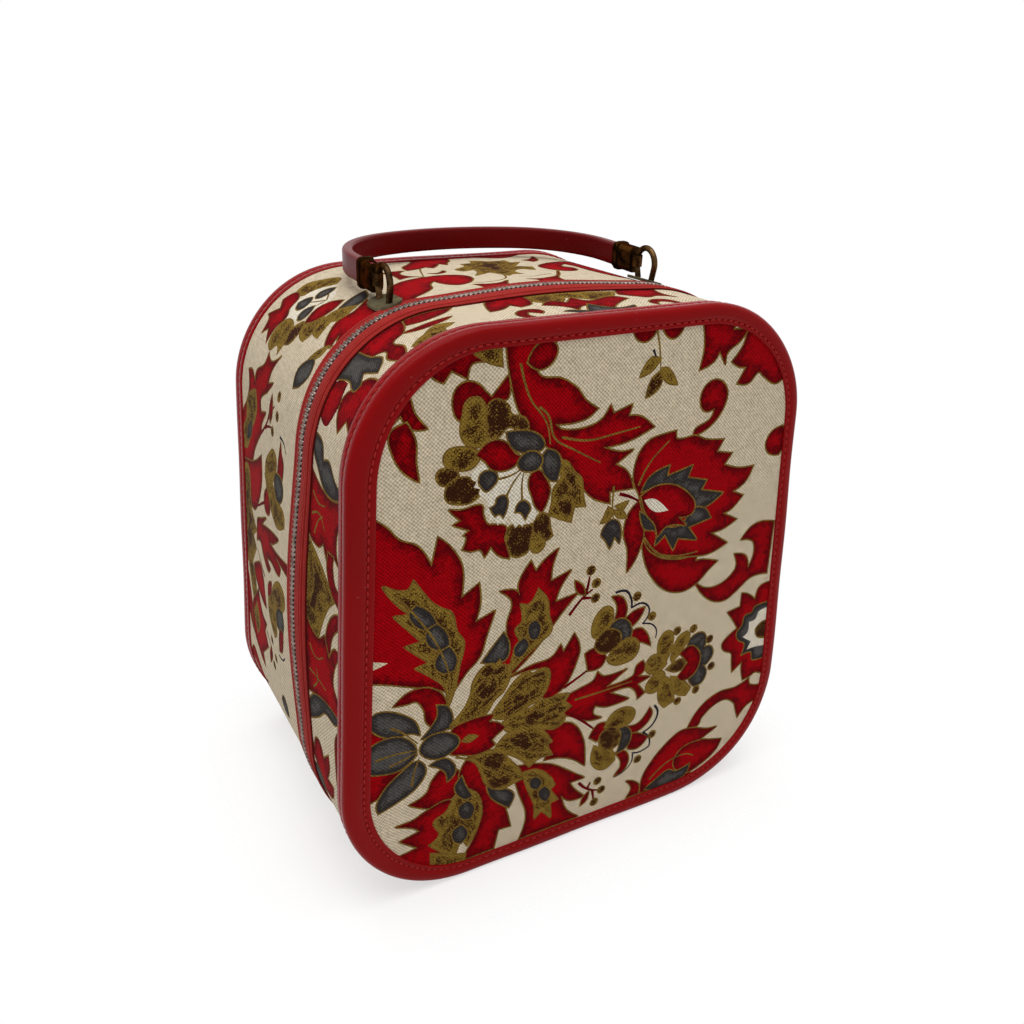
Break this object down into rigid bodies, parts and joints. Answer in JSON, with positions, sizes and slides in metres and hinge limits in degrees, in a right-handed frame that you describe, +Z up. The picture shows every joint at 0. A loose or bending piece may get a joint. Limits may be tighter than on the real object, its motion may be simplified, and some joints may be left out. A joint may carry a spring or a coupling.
{
  "type": "cosmetic train case",
  "caption": "Soft-sided cosmetic train case: rounded box of printed fabric panels with bound edges, a zip-round front lid hinged along the base and a drop handle on wire loops.",
  "frame": {"origin": "middle of the base, on the plane the case stands on", "axes": "+Z up, -Y out of the lid's printed face, +X to the viewer's right when facing the lid"},
  "size_m": [0.2224, 0.152, 0.2541],
  "materials": {
    "print_fabric": "woven linen with a floral print",
    "lining": "plain cloth",
    "vinyl": "glossy red vinyl, stitched",
    "tape": "ribbed zipper tape",
    "zipper_metal": "dull grey metal",
    "antique_brass": "darkened brass"
  },
  "bodies": {
    "case": {"back_panel": "print_fabric", "case_band": "print_fabric", "case_lining": "lining", "case_binding": "vinyl", "case_tape": "tape", "case_teeth": "zipper_metal", "hinge_strip": "vinyl", "slider": "zipper_metal", "left_plate": "antique_brass", "right_plate": "antique_brass", "left_loop": "antique_brass", "right_loop": "antique_brass"},
    "lid": {"front_panel": "print_fabric", "lid_band": "print_fabric", "lid_lining": "lining", "lid_binding": "vinyl", "lid_tape": "tape", "lid_teeth": "zipper_metal"},
    "pull": {"pull_tab": "zipper_metal"},
    "handle": {"strap": "vinyl", "left_ferrule": "antique_brass", "right_ferrule": "antique_brass"}
  },
  "joints": [
    {"name": "lid_hinge", "type": "hinge", "parent": "case", "child": "lid", "pos_m": [0, -0.026, 0.0009], "axis": [1, 0, 0], "range_deg": [0, 100]},
    {"name": "handle_swing", "type": "hinge", "parent": "case", "child": "handle", "pos_m": [0, -0.01285, 0.24559], "axis": [1, 0, 0], "range_deg": [0, 170]},
    {"name": "pull_swing", "type": "hinge", "parent": "case", "child": "pull", "pos_m": [0.10428, -0.026, 0.02295], "axis": [0, -1, 0], "range_deg": [-20, 140]}
  ]
}
